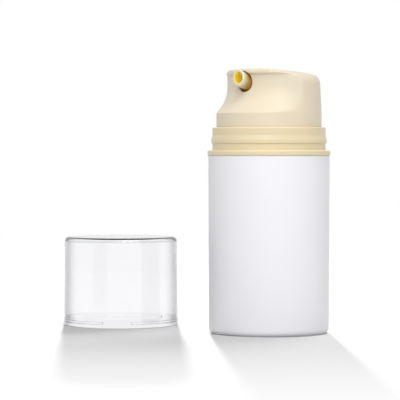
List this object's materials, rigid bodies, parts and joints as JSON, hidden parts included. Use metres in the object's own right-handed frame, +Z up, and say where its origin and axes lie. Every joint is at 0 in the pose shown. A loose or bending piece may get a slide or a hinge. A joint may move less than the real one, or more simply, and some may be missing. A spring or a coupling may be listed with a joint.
{
  "type": "airless pump bottle",
  "caption": "Cylindrical airless dispenser bottle with a push-down pump head, a side spout, a rising follower piston inside and a clear overcap standing beside it.",
  "frame": {"origin": "centre of the bottle's standing ring, on the surface that the bottle and the overcap stand on", "axes": "+Z up along the pump's axis; -Y is the way the spout points; +X is to the right of someone who faces the spout; the overcap stands on the -X side"},
  "size_m": [0.1145, 0.06, 0.0998],
  "materials": {
    "white_pp": "satin",
    "cream_pp": "satin",
    "spout_pp": "satin",
    "amber_pp": "glossy",
    "natural_pp": "satin",
    "natural_pe": "matte",
    "seal_rubber": "matte",
    "stainless_steel": "bright",
    "clear_styrene": "clear, polished"
  },
  "bodies": {
    "bottle": {"bottle_body": "white_pp", "inner_lid": "natural_pp", "lid_gasket": "seal_rubber", "collar": "cream_pp", "pump_housing": "natural_pp", "housing_gasket": "seal_rubber", "chaplet": "natural_pp", "return_spring": "stainless_steel"},
    "follower": {"follower_piston": "natural_pe"},
    "inlet_valve": {"inlet_ball": "stainless_steel"},
    "plunger": {"poppet": "natural_pp", "piston_seal": "natural_pe"},
    "head": {"stem": "natural_pp", "spout_core": "spout_pp", "orifice_sleeve": "amber_pp", "actuator_shell": "cream_pp"},
    "outlet_valve": {"outlet_ball": "stainless_steel"},
    "cap": {"overcap": "clear_styrene"}
  },
  "joints": [
    {"name": "pump_stroke", "type": "slide", "parent": "bottle", "child": "plunger", "axis": [0, 0, -1], "range_m": [0, 0.005], "stiffness_N_per_m": 1500, "springref_m": -0.005, "deforming": ["return_spring"]},
    {"name": "head_turn", "type": "hinge", "parent": "plunger", "child": "head", "pos_m": [0, 0, 0.08], "axis": [0, 0, 1], "continuous": true},
    {"name": "follower_rise", "type": "slide", "parent": "bottle", "child": "follower", "axis": [0, 0, 1], "range_m": [0, 0.039]},
    {"name": "inlet_ball_lift", "type": "slide", "parent": "bottle", "child": "inlet_valve", "axis": [0, 0, 1], "range_m": [0, 0.0012]},
    {"name": "outlet_ball_lift", "type": "slide", "parent": "head", "child": "outlet_valve", "axis": [0, 0, 1], "range_m": [0, 0.001]},
    {"name": "overcap_lift", "type": "slide", "parent": "bottle", "child": "cap", "axis": [0, 0, 1], "range_m": [0, 0.11]}
  ]
}
